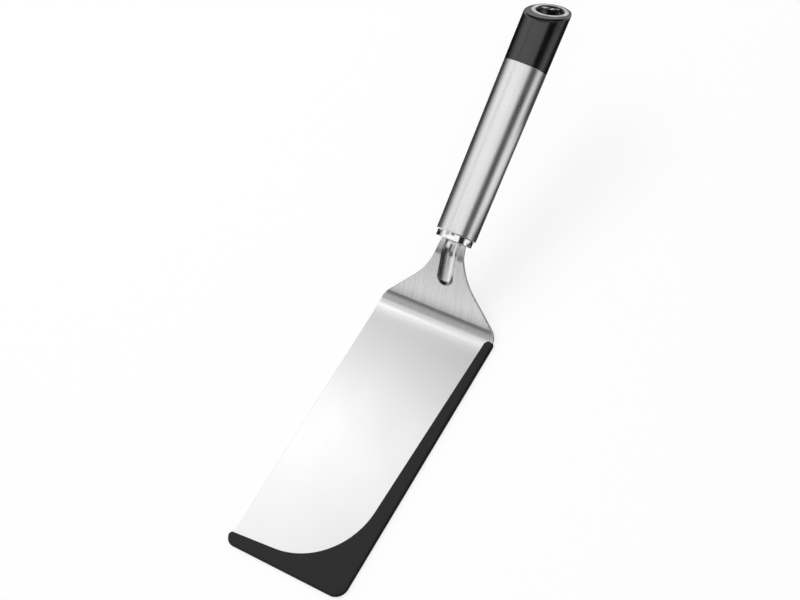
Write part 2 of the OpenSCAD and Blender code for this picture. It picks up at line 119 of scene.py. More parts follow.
def closed_skin(name, rings, uv, ends):
    """One closed mesh from rows of rings in mm. Neighbouring rings are joined
    by four-sided faces. The first and last ring are joined to each other
    ("wrap"), closed by strips between their two halves ("halves"), or by
    triangles to their middle ("middle"). uv has one more column than the
    rings, where the skin's seam is. The faces are turned outwards by the
    sign of the volume that they enclose."""
    rows, cols = rings.shape[:2]
    index = np.arange(rows * cols).reshape(rows, cols)
    if ends == "wrap":
        index = np.concatenate([index, index[:1]])
    index = np.concatenate([index, index[:, :1]], 1)

    def cells(a):
        """The four corners of each cell of a grid, one way round."""
        return np.stack([a[:-1, :-1], a[1:, :-1], a[1:, 1:], a[:-1, 1:]], 2)

    points = rings.reshape(-1, 3)
    faces = [cells(index).reshape(-1, 4)]
    face_uv = [cells(uv).reshape(-1, 4, 2)]
    for row, flip in ((0, 1), (rows - 1, -1)):
        if ends == "halves":
            j = np.arange(cols // 2 - 1)
            k = np.stack([j, j + 1, cols - 2 - j, cols - 1 - j], -1)[:, ::flip]
        elif ends == "middle":
            j = np.arange(cols)
            k = np.stack([j, j + 1, j + 1], -1)[:, ::flip]
        else:
            continue
        face = index[row][k]
        if ends == "middle":
            face[:, -1 if flip == 1 else 0] = len(points)
            points = np.concatenate([points, rings[row].mean(0, keepdims=True)])
        faces.append(face)
        face_uv.append(uv[row][k])
    tri = np.concatenate([np.concatenate([f[:, [0, 1, 2]], f[:, [0, 2, 3]]]) if f.shape[1] == 4 else f
                          for f in faces])
    a, b, c = (points[tri[:, i]] for i in range(3))
    if np.einsum("ij,ij->i", a, np.cross(b, c)).sum() < 0:
        faces = [f[:, ::-1] for f in faces]
        face_uv = [f[:, ::-1] for f in face_uv]
    mesh = bpy.data.meshes.new(name)
    mesh.from_pydata((points * mm).tolist(), [], [f for part in faces for f in part.tolist()])
    layer = mesh.uv_layers.new(name="length")
    layer.data.foreach_set("uv", np.concatenate([f.reshape(-1) for f in face_uv]))
    mesh.polygons.foreach_set("use_smooth", np.ones(len(mesh.polygons), bool))
    piece = bpy.data.objects.new(name, mesh)
    bpy.context.scene.collection.objects.link(piece)
    return piece


def keep_flats_flat(piece):
    """The shading follows the faces by their area, so that the large ones
    stay even next to a small rounding."""
    piece.modifiers.new("even_shading", "WEIGHTED_NORMAL").weight = 90


def new_material(name, sockets):
    """A material whose even values are set on the shader's own sockets."""
    made = bpy.data.materials.new(name)
    made.use_nodes = True
    for socket, value in sockets.items():
        made.node_tree.nodes["Principled BSDF"].inputs[socket].default_value = value
    return made


def add(made, kind, sockets=None, **settings):
    """A node in a material, with its settings, values and incoming links."""
    made_node = made.node_tree.nodes.new("ShaderNode" + kind)
    for key, value in settings.items():
        setattr(made_node, key, value)
    for key, value in (sockets or {}).items():
        if isinstance(value, bpy.types.NodeSocket):
            made.node_tree.links.new(value, made_node.inputs[key])
        else:
            made_node.inputs[key].default_value = value
    return made_node


def feed(made, socket, source):
    """Links a node's output to a socket of the material's shader."""
    made.node_tree.links.new(source, made.node_tree.nodes["Principled BSDF"].inputs[socket])


def noise(made, place, scale, detail, roughness=0.5):
    """A cloudy pattern from 0 to 1, with about scale clouds to a unit of
    place. Finer ones are added detail times, each roughness as strong."""
    return add(made, "TexNoise", {"Vector": place, "Scale": scale, "Detail": detail,
                                  "Roughness": roughness}).outputs["Fac"]


def carried(made, value, low, high, start=0.0, end=1.0):
    """A value carried evenly from the range start to end over to low to
    high, and held at its ends."""
    return add(made, "MapRange", {"Value": value, "From Min": start, "From Max": end,
                                  "To Min": low, "To Max": high}).outputs[0]


def blend(made, one, other, share):
    """A colour that lies share of the way from one to the other."""
    return add(made, "Mix", {"A": one, "B": other, "Factor": share}, data_type="RGBA").outputs["Result"]


def relief(made, height, strength, distance):
    """Shading as if the pattern stood out of the surface by distance, in
    metres."""
    return add(made, "Bump", {"Height": height, "Strength": strength, "Distance": distance}).outputs[0]


def brushed_steel(name, dark, light, smooth, rough, lines, depth, drawn_out, finer=None):
    """Satin steel. Fine lines lie along V of the UV map, which counts in
    uv_mm: lines is how many lie side by side there, and end to end. Their
    colour runs from dark to light, depth is how strong their relief is, and
    drawn_out how far they draw the gloss out across them. Soft clouds a few
    centimetres wide vary the polish, which runs from smooth to rough with
    the sum of both patterns. finer gives the stretch of V over which the
    finish coarsens, from faint lines, and how much duller it gets. The press
    has rubbed its groove smoother, and its steep ends have painted shade."""
    steel = new_material(name, {"Metallic": 1.0, "Anisotropic": drawn_out})
    where = add(steel, "TexCoord")
    drawn = add(steel, "Mapping", {"Vector": where.outputs["UV"], "Scale": (*lines, 1)})
    streaks = noise(steel, drawn.outputs[0], 1.0, 5.0, 0.65)
    clouds = noise(steel, where.outputs["Object"], 28.0, 2.0)
    both = add(steel, "Math", {0: streaks, 1: clouds}, operation="ADD").outputs[0]
    tone = carried(steel, streaks, 0.0, 1.0, 0.25, 0.75)
    polish = carried(steel, both, smooth, rough, 0.6, 1.4)
    if finer:
        fine_to, coarse_from, duller = finer
        along_v = add(steel, "SeparateXYZ", {0: where.outputs["UV"]}).outputs["Y"]
        coarse = carried(steel, along_v, 0.0, 1.0, fine_to, coarse_from)
        tone = carried(steel, coarse, 0.75, tone)
        depth = add(steel, "Math", {0: coarse, 1: depth}, operation="MULTIPLY").outputs[0]
        polish = add(steel, "Math", {0: coarse, 1: duller, 2: polish},
                     operation="MULTIPLY_ADD").outputs[0]
        rubbed = add(steel, "Attribute", attribute_name="burnish").outputs["Fac"]
        polish = add(steel, "Mix", {"Factor": rubbed, "A": polish, "B": rubbed_rough}).outputs[0]
    colour = blend(steel, (*dark, 1), (*light, 1), tone)
    if finer:
        # Painted shade: the groove's steep ends are blended towards a dark gray.
        painted_shade_mask = add(steel, "Attribute", attribute_name="painted_shade").outputs["Fac"]
        colour = blend(steel, colour, painted_shade_gray, painted_shade_mask)
    feed(steel, "Base Color", colour)
    feed(steel, "Roughness", polish)
    feed(steel, "Normal", relief(steel, streaks, depth, 0.00008))
    feed(steel, "Tangent", add(steel, "Tangent", direction_type="UV_MAP", uv_map="length").outputs[0])
    return steel


# Half of the outline, drawn as seen square on to the neck: the blade's side,
# the flare out to cross_y, the neck's taper and the tang. Both ends run past
# the sheet.
half_w = blade_w / 2
neck_run = neck_len + crank_r * math.sin(crank)
cross_y = ((half_w - flare_lead * math.tan(flare) - neck_end_w / 2 - neck_run * math.tan(neck_taper))
           / (math.tan(flare) - math.tan(neck_taper)))
neck_side = round_corners([
    [half_w, -blade_len * 2, 0],
    [half_w, -flare_lead, shoulder_r],
    [half_w - (cross_y + flare_lead) * math.tan(flare), cross_y, flare_r],
    [tang_w / 2, neck_run + (neck_end_w - tang_w) / 2 / math.tan(neck_taper), tang_fillet_r],
    [tang_w / 2, neck_run + tang_len * 2, 0]], steps=40, closed=False)

# The rows along the sheet lie closer together in the bends and over the
# groove, and closest where the groove's front end is steep. Each row's half
# width is read off the outline at seen_y, its place along the neck's own
# direction, and the front corners are quarter circles.
steep_from, steep_to, groove_to = bend_s + 13, bend_s + 18, tang_s + 24
s = np.concatenate([
    -blade_len + blade_corner_r * (1 - np.cos(np.linspace(0, math.pi / 2, 10))),
    np.linspace(-blade_len + 8, -16, 32), np.linspace(-14, bend_s, 90),
    np.linspace(bend_s, steep_from, 34)[1:], np.linspace(steep_from, steep_to, 51)[1:],
    np.linspace(steep_to, crank_s, 40)[1:], np.linspace(crank_s, tang_s, 36)[1:],
    np.linspace(tang_s, groove_to, 60)[1:], np.linspace(tang_s + 28, tang_s + tang_len, 5)])[:, None]
path = lie_on_sheet(0.0, s, 0.0) - lie_on_sheet(0.0, bend_s, 0.0)
seen_y = path[..., 1] * math.cos(bend) + path[..., 2] * math.sin(bend)
from_front = np.minimum(s + blade_len, blade_corner_r)
side = (np.interp(seen_y, neck_side[:, 1], neck_side[:, 0]) - blade_corner_r
        + np.sqrt(blade_corner_r ** 2 - (blade_corner_r - from_front) ** 2))


def pressed(x, s, r, lift, wall=None):
    """How far a round bar of radius r, whose axis is lift above a face, is
    pressed into it: the root of r squared less x squared, less lift. Past
    the bar's ends the distance past them counts as x does, so that it ends
    in balls, or a wall of that slope rises inside the same round outline.
    The shoulders blend in along a short parabola."""
    past = np.maximum(np.maximum(bend_s + groove_front - s, s - tang_s - groove_back), 0)
    if wall is None:
        depth = np.sqrt(np.maximum(r ** 2 - x ** 2 - past ** 2, 0)) - lift
    else:
        brink = (math.sqrt(r ** 2 - lift ** 2) - np.sqrt(x ** 2 + past ** 2)) * wall
        depth = np.minimum(np.sqrt(np.maximum(r ** 2 - x ** 2, 0)) - lift, brink)
    k = groove_shoulder
    return np.where(depth > k, depth, np.maximum(depth + k, 0) ** 2 / (4 * k))


# A cross section runs over the upper face, round the right edge, back along
# the lower face and round the left edge, from whose middle it starts. Each
# edge is rounded by two quarter circles.
across = (side - sheet_edge_r) * np.linspace(-1, 1, 121)
q = np.linspace(math.pi / 2, 0, 5)
edge_x = side - sheet_edge_r + sheet_edge_r * np.concatenate([np.cos(q), np.cos(q[::-1])])[1:-1]
edge_h = np.concatenate([-sheet_edge_r * (1 - np.sin(q)),
                         -sheet_t + sheet_edge_r * (1 - np.sin(q[::-1]))])[1:-1] + 0 * side
x = np.concatenate([across, edge_x, across[:, ::-1], -edge_x[:, ::-1]], 1)
groove = pressed(across, s, groove_r, groove_lift, groove_wall)
rib = pressed(across[:, ::-1], s, groove_r + sheet_t, groove_lift + sheet_t)
h = np.concatenate([-groove, edge_h, -sheet_t - rib, edge_h[:, ::-1]], 1)
in_groove = np.concatenate([groove, 0 * h[:, groove.shape[1]:]], 1)
half_edge = edge_x.shape[1] // 2
x, h, in_groove = (np.roll(a, half_edge, 1) for a in (x, h, in_groove))
uv = np.stack(np.broadcast_arrays(np.concatenate([x, x[:, :1]], 1), s), -1) / uv_mm
blade = closed_skin("blade_sheet", eased_sheet(x, s, h), uv, "halves")
keep_flats_flat(blade)

# The groove's depth in mm says where the press has rubbed it, and the slope
# of its ends where painted shade darkens the steel, fading towards the right.
steep = np.abs(np.gradient(in_groove, s[:, 0], axis=0)) / painted_shade_slope
painted_shade_across = np.clip(painted_shade_middle - x / painted_shade_fade, 0, 1)
for mark, amount in (("burnish", in_groove), ("painted_shade", steep * painted_shade_across)):
    values = blade.data.attributes.new(mark, "FLOAT", "POINT").data
    values.foreach_set("value", np.clip(amount, 0, 1).reshape(-1))
blade.data.materials.append(brushed_steel(
    "brushed_sheet", dark=(0.66, 0.66, 0.665), light=(0.92, 0.92, 0.92), smooth=0.17, rough=0.22,
    lines=(110, 3), depth=0.4, drawn_out=0.5, finer=(0.02, 0.13, 0.08)))
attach(blade, "root")
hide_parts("blade")

# The soft edge is black silicone, moulded round the sheet's right side and
# its front, and rounded all along its rim. It is matte, and slides over a
# pan's bottom on its flat underside.
past_right, past_front, past_left = 0.95, 2.6, 3.2
edge_over, edge_under, edge_climb = 0.8, 0.6, 4.4
rim_r, border_r, inner_r = 1.2, 0.55, 41.0
heel_r, corner_r, toe_tip_r, toe_lean = 7.0, 5.46, 1.89, math.radians(27)
leg_w, leg_slope = 5.4, math.tan(math.radians(1.92))
toe_w, toe_slope = 6.4, math.tan(math.radians(4.4))
arc_points = 25

edge_right, edge_front, edge_left = half_w + past_right, -blade_len - past_front, -half_w - past_left
leg_x, toe_y = edge_right - leg_w, edge_front + toe_w


def border_x(y):
    """The border's x along the leg at y: a straight line, leg_x at the bend,
    that leans by leg_slope."""
    return leg_x + y * leg_slope


def border_y(x):
    """The border's y along the toe at x: a straight line, toe_y at the left
    end, that climbs by toe_slope."""
    return toe_y + (x - edge_left) * toe_slope


# The leg's line and the toe's line cross at inner_y, and leg_end_r rounds the
# whole width of the leg's upper end.
inner_y = (toe_y + (leg_x - edge_left) * toe_slope) / (1 - leg_slope * toe_slope)
leg_end_r = (edge_right - border_x(edge_climb)) / 2 / (1 + leg_slope)
line = round_corners([
    [edge_left + toe_w * math.tan(toe_lean), edge_front, corner_r],
    [edge_right, edge_front, heel_r],
    [edge_right, 0, 0],
    [edge_right, edge_climb, leg_end_r],
    [border_x(edge_climb), edge_climb, leg_end_r],
    [border_x(0), 0, 0],
    [border_x(inner_y), inner_y, inner_r],
    [edge_left, border_y(edge_left), toe_tip_r]], steps=arc_points - 1)

# The outline is drawn in by inset at each height, along a quarter circle
# below and one above. Their radius is smaller on the border, which runs from
# the last points of the leg's end over the next two corners, and into the
# arc of the toe's tip.
along = np.roll(line, -1, 0) - np.roll(line, 1, 0)
along /= np.linalg.norm(along, axis=1, keepdims=True)
inward = np.stack([-along[:, 1], along[:, 0]], -1)
leg_end, toe_tip = len(line) - 2 * arc_points - 2, len(line) - arc_points
place = np.arange(len(line))
on_border = (place > leg_end - 4) & (place < toe_tip + 7)
radius = np.where(on_border, border_r, rim_r)[None, :, None]
q = np.linspace(0, math.pi / 2, 9)[:, None, None]
low = -sheet_t - edge_under
inset = np.concatenate([radius * (1 - np.sin(q)), radius * (1 - np.cos(q))])
height = np.concatenate([low + radius * (1 - np.cos(q)), edge_over - radius * (1 - np.sin(q))])[..., 0]
outline = line[None] + inward[None] * inset
rings = lie_on_sheet(outline[..., 0], outline[..., 1], height)
uv = np.concatenate([outline, outline[:, :1]], 1) / uv_mm
soft = closed_skin("silicone_edge", rings, uv, "halves")
keep_flats_flat(soft)
silicone = new_material("black_silicone", {"Specular IOR Level": 0.46})
where = add(silicone, "TexCoord").outputs["Object"]
patches = noise(silicone, where, 60.0, 2.0)
feed(silicone, "Base Color",
     blend(silicone, (0.002, 0.002, 0.0021, 1), (0.004, 0.004, 0.0042, 1), patches))
feed(silicone, "Roughness", carried(silicone, patches, 0.38, 0.48))
feed(silicone, "Normal", relief(silicone, noise(silicone, where, 2600.0, 3.0), 0.2, 0.00005))
soft.data.materials.append(silicone)
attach(soft, "root")
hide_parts("soft_edge")

# The collar is turned from steel bar and polished. It closes the front of
# the tube, and the neck comes out of it through a slot that leaves a hair's
# gap round the sheet and its rib.
axis_lift, fit_gap = 0.2, 0.05
collar_r, collar_edge_r, collar_wall, slot_gap = 9.95, 0.4, 2.0, 0.15
tube_front, tube_lip = 3.6, 1.0
skirt_r, skirt_t, skirt_len = 10.35, 0.8, 13.0
tang_origin = lie_on_sheet(0.0, tang_s, 0.0)
to_right = np.array([1.0, 0, 0])
handle_along = np.array([0, math.cos(handle_tilt), math.sin(handle_tilt)])
handle_up = np.array([0, -math.sin(handle_tilt), math.cos(handle_tilt)])


def on_handle(x, up, z):
    """Points at x across and up from the tube's axis, z behind the collar's
    front face: the three distances along the handle's own directions, added
    to where the tang starts."""
    x, up, z = (a[..., None] for a in np.broadcast_arrays(x, up, z))
    return tang_origin + to_right * x + handle_up * (up + axis_lift) + handle_along * z


# The slot's outline by angle about its middle is the nearest of its sides,
# or the rib's circle below where that lies farther out. The angles take in
# the slot's four corners.
slot_w = neck_end_w / 2 + slot_gap
slot_low, slot_high = -sheet_t - slot_gap - axis_lift, slot_gap - axis_lift
slot_mid, rib_r = -sheet_t / 2 - axis_lift, groove_r + sheet_t + slot_gap
rib_mid = groove_lift - axis_lift
turns = np.sort(np.concatenate([
    np.linspace(0, 2 * math.pi, 241)[:-1],
    np.arctan2(np.array([slot_w, slot_w, -slot_w, -slot_w]),
               np.array([slot_high, slot_low, slot_low, slot_high]) - slot_mid) % (2 * math.pi)]))
sin_t, cos_t = np.sin(turns), np.cos(turns)
with np.errstate(divide="ignore"):
    to_side = slot_w / np.abs(sin_t)
    to_top = np.where(cos_t > 0, (slot_high - slot_mid) / cos_t, np.inf)
    to_bottom = np.where(cos_t < 0, (slot_low - slot_mid) / cos_t, np.inf)
drop = rib_mid - slot_mid
to_rib = drop * cos_t + np.sqrt(np.maximum(rib_r ** 2 - (drop * sin_t) ** 2, 0))
slot_r = np.maximum(np.minimum(np.minimum(to_side, to_top), to_bottom),
                    np.where(cos_t < 0, np.minimum(to_rib, to_side), 0))
slot_line = np.stack([slot_r * sin_t, slot_mid + slot_r * cos_t], -1)
disc = np.stack([sin_t, cos_t], -1)

# The profile goes from the slot's inner end over the front face, the rounded
# edge and the skirt, and back inside. A radius of None is the slot's
# outline, and one below 1 is that share of the way from it to the edge.
step = tube_front + tube_lip + fit_gap
profile = ([(None, collar_wall), (None, 0.0), (0.5, 0.0), (0.9, 0.0)]
           + [(collar_r - collar_edge_r * (1 - math.sin(a)), collar_edge_r * (1 - math.cos(a)))
              for a in np.linspace(0, math.pi / 2, 7)]
           + [(collar_r, step), (skirt_r, step), (skirt_r, step + skirt_len),
              (skirt_r - skirt_t, step + skirt_len), (skirt_r - skirt_t, collar_wall)])
rings = []
for r, z in profile:
    if r is None:
        flat = slot_line
    elif r < 1:
        flat = slot_line + (disc * (collar_r - collar_edge_r) - slot_line) * r
    else:
        flat = disc * r
    rings.append(on_handle(flat[:, 0], flat[:, 1], z))
rings = np.array(rings)
round_u = np.append(turns, 2 * math.pi) * collar_r
back_v = np.array([z for r, z in profile + profile[:1]])[:, None]
uv = np.stack(np.broadcast_arrays(round_u, back_v), -1) / uv_mm
collar = closed_skin("turned_collar", rings, uv, "wrap")
keep_flats_flat(collar)
polished = new_material("polished_steel", {"Metallic": 1.0})
rubbed = noise(polished, add(polished, "TexCoord").outputs["Object"], 260.0, 4.0)
feed(polished, "Base Color", blend(polished, (0.86, 0.86, 0.865, 1), (0.93, 0.93, 0.93, 1), rubbed))
feed(polished, "Roughness", carried(polished, rubbed, 0.07, 0.11, 0.3, 0.7))
collar.data.materials.append(polished)
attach(collar, "root")
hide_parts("collar")

# The core is moulded round the tang inside the tube. It doesn't show, so
# the CAD solid stays, with the matte grain of its plastic.
core_plastic = new_material("matte_core", {"Specular IOR Level": 0.4})
grain = noise(core_plastic, add(core_plastic, "TexCoord").outputs["Object"], 900.0, 2.0)
feed(core_plastic, "Base Color",
     blend(core_plastic, (0.04, 0.04, 0.042, 1), (0.06, 0.06, 0.06, 1), grain))
feed(core_plastic, "Roughness", carried(core_plastic, grain, 0.5, 0.7))
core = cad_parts["tang_core"]
for held in core.material_slots:
    held.material = core_plastic

# The tube is thin stainless, drawn to a slight taper, with its front lip
# turned in round the collar. It has a plain satin finish all over.
tube_front_r, tube_rear_r, tube_len, tube_wall = 11.0, 11.93, 95.4, 0.6
lip_r, rear_edge_r, facets = 0.7, 0.35, 256
joint = tube_front + tube_len


def outer_r(z):
    """The tube's outer radius at z: it grows evenly from the front's to the
    rear's."""
    return tube_front_r + (tube_rear_r - tube_front_r) / tube_len * (z - tube_front)


def turned(name, r, z, ends):
    """A profile of radii r and distances z turned once round the tube's
    axis: at each angle, x is r times its sine and the height r times its
    cosine. r and z may also change with the angle, as columns."""
    angle = np.linspace(0, 2 * math.pi, facets + 1)
    r, z = np.broadcast_arrays(r, z)
    rings = on_handle(r * np.sin(angle[:-1]), r * np.cos(angle[:-1]), z)
    length = np.concatenate([z, z[:1]]) if ends == "wrap" else z
    uv = np.stack(np.broadcast_arrays(angle * tube_front_r, length[:, :1]), -1) / uv_mm
    return closed_skin(name, rings, uv, ends)


# The profile goes round the lip, back along the taper, round the rear edge
# and forwards inside. drawn_in is how far it lies inside the taper, and its
# two ends lie a hair off the collar.
q = np.linspace(0, math.pi / 2, 9)
lip_z, rear_z = tube_front + lip_r * (1 - np.cos(q)), joint - rear_edge_r * (1 - np.sin(q))
straight_z = np.linspace(tube_front + 3, joint - 2, 24)
z = np.concatenate([[tube_front], lip_z, straight_z, rear_z,
                    [joint, tube_front + tube_lip, tube_front + tube_lip]])[:, None]
drawn_in = np.concatenate([[0], lip_r * (1 - np.sin(q)), 0 * straight_z, rear_edge_r * (1 - np.cos(q)),
                           [tube_wall, tube_wall, 0]])[:, None]
r = outer_r(z) - drawn_in
r[[0, -1]] = collar_r + fit_gap
tube = turned("tube", r, z, "wrap")
keep_flats_flat(tube)
tube.data.materials.append(brushed_steel(
    "satin_tube", dark=(0.76, 0.76, 0.765), light=(0.82, 0.82, 0.82), smooth=0.24, rough=0.32,
    lines=(60, 2), depth=0.12, drawn_out=0.3))
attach(tube, "root")
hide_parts("handle_tube")

# The end cap is moulded in black plastic with a smooth, slightly glossy
# skin. It carries on the tube's taper, is cut off at a slant with a rounded
# rim, and has an oblique hole through it. Its plug sits in the tube.
face_z, face_slant, cap_rim_r, cap_rim_w = 130.8, math.radians(32), 1.1, 1.9
plug_len, plug_chamfer, seam_chamfer = 12.0, 0.4, 0.15
plug_r = outer_r(joint - plug_len) - tube_wall - fit_gap
eye_drop, eye_tilt, eye_bore, hole_relief = 2.0, math.radians(13), 7.4, 0.04
face_mid = on_handle(0.0, 0.0, face_z)
face_out = math.sin(face_slant) * handle_up + math.cos(face_slant) * handle_along
face_up = math.cos(face_slant) * handle_up - math.sin(face_slant) * handle_along
eye_mid = face_mid - eye_drop * face_up
eye_out = math.sin(eye_tilt) * face_up + math.cos(eye_tilt) * face_out
eye_up = math.cos(eye_tilt) * face_up - math.sin(eye_tilt) * face_out

angle = np.linspace(0, 2 * math.pi, facets + 1)[None, :-1]


def cut_by_slant(depth, inset):
    """Radius and z of the taper where a plane cuts it, depth under the end
    face, drawn in by inset. The plane's height depends on the radius and
    the taper's radius on the height, so the two are worked out in turns."""
    r = outer_r(face_z) + 0 * angle
    for _ in range(20):
        z = face_z - depth / math.cos(face_slant) - r * np.cos(angle) * math.tan(face_slant)
        r = outer_r(z)
    r = r - inset
    return r, face_z - depth / math.cos(face_slant) - r * np.cos(angle) * math.tan(face_slant)


# The skin starts at the plug's end and goes over its chamfer, the shoulder
# at the seam, the taper, the rim and the end face, each as rings of radius
# and z. The rim is a quarter of an ellipse, cap_rim_r deep and cap_rim_w
# wide, and the taper is shared out evenly between the seam and the rim.
rows = [(r + 0 * angle, z + 0 * angle) for r, z in (
    (plug_r - plug_chamfer, joint - plug_len), (plug_r, joint - plug_len + plug_chamfer),
    (plug_r, joint), (outer_r(joint) - seam_chamfer, joint), (outer_r(joint), joint + seam_chamfer))]
rim_z = cut_by_slant(cap_rim_r, 0.0)[1]
for share in np.linspace(0, 1, 26)[1:-1]:
    z = joint + seam_chamfer + (rim_z - joint - seam_chamfer) * share
    rows.append((outer_r(z), z))
rows += [cut_by_slant(cap_rim_r * (1 - math.sin(a)), cap_rim_w * (1 - math.cos(a)))
         for a in np.linspace(0, math.pi / 2, 13)]
edge_r, edge_z = rows[-1]
for share in (0.9, 0.7, 0.5, 0.3, 0.1):
    rows.append((edge_r * share, face_z + (edge_z - face_z) * share))
cap_r, cap_z = (np.concatenate(part) for part in zip(*rows))
cap = turned("black_cap", cap_r, cap_z, "middle")

# The hole is drilled right through, with a round bar along the hole's axis.
turn = np.linspace(0, 2 * math.pi, 161)[None]
spokes = np.cos(turn[:, :-1, None]) * to_right + np.sin(turn[:, :-1, None]) * eye_up
bar_ends = np.array([[-70.0], [30.0]])
bar_rings = eye_mid + (eye_bore + hole_relief) * spokes + bar_ends[..., None] * eye_out
bar = closed_skin("hole_cutter", bar_rings, np.stack(np.broadcast_arrays(turn, bar_ends), -1), "middle")
drill = cap.modifiers.new("hole", "BOOLEAN")
drill.operation, drill.solver, drill.object = "DIFFERENCE", "EXACT", bar
bpy.context.view_layer.update()
drilled = bpy.data.meshes.new_from_object(cap.evaluated_get(bpy.context.evaluated_depsgraph_get()))
cap.modifiers.clear()
cap.data = drilled
bpy.data.objects.remove(bar)
drilled.set_sharp_from_angle(angle=math.radians(40))
plastic = new_material("black_plastic", {"IOR": 1.5, "Specular IOR Level": 0.9})
where = add(plastic, "TexCoord").outputs["Object"]
wear = noise(plastic, where, 90.0, 4.0)
feed(plastic, "Base Color",
     blend(plastic, (0.0025, 0.0025, 0.0026, 1), (0.0045, 0.0045, 0.0046, 1), wear))
feed(plastic, "Roughness", carried(plastic, wear, 0.19, 0.25, 0.3, 0.7))
feed(plastic, "Normal", relief(plastic, noise(plastic, where, 1500.0, 3.0), 0.06, 0.00003))
cap.data.materials.clear()
cap.data.materials.append(plastic)
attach(cap, "root")
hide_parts("end_cap")

# The hanging eye is a polished steel ring in the end face. Its rounded lip
# rolls over into the hole, and its short sleeve holds it in the cap.
ring_r, ring_edge_r, ring_proud, lip_roll = 10.0, 0.35, 0.12, 0.7
ring_depth, sleeve_depth, sleeve_t = 1.0, 2.2, 0.9


def round_eye(r, depth):
    """Points on circles of radius r about the hole's axis, where the planes
    depth under the slanted end face cut them: the way along the axis is the
    point's height times the tilt's sine, less depth, over its cosine."""
    r, depth = r[:, None], depth[:, None]
    rise = (r * np.sin(turn[:, :-1]) * math.sin(eye_tilt) - depth) / math.cos(eye_tilt)
    return eye_mid + r[..., None] * spokes + rise[..., None] * eye_out


# The profile goes up the ring's outside, over its edge and its face, which
# stands a little proud, round the lip into the hole, down the sleeve and
# back. p runs round the outer edge and q round the lip.
p, q = np.linspace(0, math.pi / 2, 5), np.linspace(0, math.pi / 2, 11)
eye_r = np.concatenate([
    [ring_r], ring_r - ring_edge_r * (1 - np.cos(p)), eye_bore + lip_roll - lip_roll * np.sin(q),
    [eye_bore, eye_bore + sleeve_t, eye_bore + sleeve_t]])
eye_depth = np.concatenate([
    [ring_depth], ring_edge_r * (1 - np.sin(p)) - ring_proud, lip_roll * (1 - np.cos(q)) - ring_proud,
    [sleeve_depth, sleeve_depth, ring_depth]])
uv = np.stack(np.broadcast_arrays(turn * ring_r, np.append(eye_depth, ring_depth)[:, None]), -1) / uv_mm
eye = closed_skin("hanging_ring", round_eye(eye_r, eye_depth), uv, "wrap")
keep_flats_flat(eye)
tumbled = new_material("tumbled_ring", {"Metallic": 1.0})
where = add(tumbled, "TexCoord").outputs["Object"]
dents, stains = noise(tumbled, where, 900.0, 3.0), noise(tumbled, where, 220.0, 3.0)
tint = carried(tumbled, stains, 0.0, 1.0, 0.35, 0.65)
feed(tumbled, "Base Color", blend(tumbled, (0.62, 0.62, 0.625, 1), (0.88, 0.88, 0.88, 1), tint))
feed(tumbled, "Roughness", carried(tumbled, dents, 0.12, 0.26, 0.3, 0.7))
feed(tumbled, "Normal", relief(tumbled, dents, 0.35, 0.00006))
eye.data.materials.append(tumbled)
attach(eye, "root")
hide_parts("hanging_eye")

# The studio: a pale floor and world, soft lamps above, and pale and dark
# cards round the set that give the steel its white and gray bands. The
# cards are seen in reflections alone.
scene = bpy.context.scene
scene.view_settings.view_transform = "Standard"


def flat_board(name, middle, one, other, made):
    """A board spanned by two half lengths from its middle, in mm: each corner
    is the middle plus or minus the one and plus or minus the other."""
    middle, one, other = (np.array(a, float) for a in (middle, one, other))
    corners = np.array([middle - one - other, middle + one - other,
                        middle + one + other, middle - one + other])
    mesh = bpy.data.meshes.new(name)
    mesh.from_pydata((corners * mm).tolist(), [], [(0, 1, 2, 3)])
    board = bpy.data.objects.new(name, mesh)
    scene.collection.objects.link(board)
    mesh.materials.append(made)
    return board


def emptied(made):
    """A material or world with all its nodes taken out."""
    made.use_nodes = True
    made.node_tree.nodes.clear()
    return made


def looked_at(made):
    """1 where the camera looks, straight, in a reflection or through a clear
    thing, and 0 for light on its way to the object: the three added up."""
    ray = add(made, "LightPath").outputs
    seen = add(made, "Math", {0: ray["Is Camera Ray"], 1: ray["Is Glossy Ray"]}, operation="ADD")
    return add(made, "Math", {0: seen.outputs[0], 1: ray["Is Transmission Ray"]},
               operation="ADD", use_clamp=True).outputs[0]


pale = emptied(bpy.data.materials.new("pale_floor"))
glow = add(pale, "Emission", {"Color": (1, 1, 1, 1), "Strength": 1.0})
paint = add(pale, "BsdfDiffuse", {"Color": (0.95, 0.95, 0.95, 1)})
share = add(pale, "Math", {0: looked_at(pale), 1: 0.78}, operation="MULTIPLY")
both = add(pale, "MixShader", {0: share.outputs[0], 1: paint.outputs[0], 2: glow.outputs[0]})
add(pale, "OutputMaterial", {"Surface": both.outputs[0]})
flat_board("floor", (0, 0, -0.02), (4000, 0, 0), (0, 4000, 0), pale)


def card(name, middle, one, other, gain, *fades):
    """A card that only reflections see. Each fade is an axis and the levels
    at places along it in mm, eased from one to the next. The card shines
    with gain times the level of each fade."""
    made = emptied(bpy.data.materials.new(name))
    where = add(made, "SeparateXYZ", {0: add(made, "TexCoord").outputs["Object"]})
    level = gain
    for axis, stops in fades:
        first, last = stops[0][0], stops[-1][0]
        span = carried(made, where.outputs[axis], 0.0, 1.0, first * mm, last * mm)
        ramp = add(made, "ValToRGB", {"Fac": span})
        ramp.color_ramp.interpolation = "EASE"
        elements = ramp.color_ramp.elements
        for i, (place, value) in enumerate(stops):
            at = (place - first) / (last - first)
            stop = elements[i] if i < 2 else elements.new(at)
            stop.position, stop.color = at, (value, value, value, 1)
        level = add(made, "Math", {0: level, 1: ramp.outputs["Color"]}, operation="MULTIPLY").outputs[0]
    glow = add(made, "Emission", {"Color": (1, 1, 1, 1), "Strength": level})
    add(made, "OutputMaterial", {"Surface": glow.outputs[0]})
    board = flat_board(name, middle, one, other, made)
    board.visible_camera = board.visible_diffuse = False
    board.visible_shadow = board.visible_transmission = False


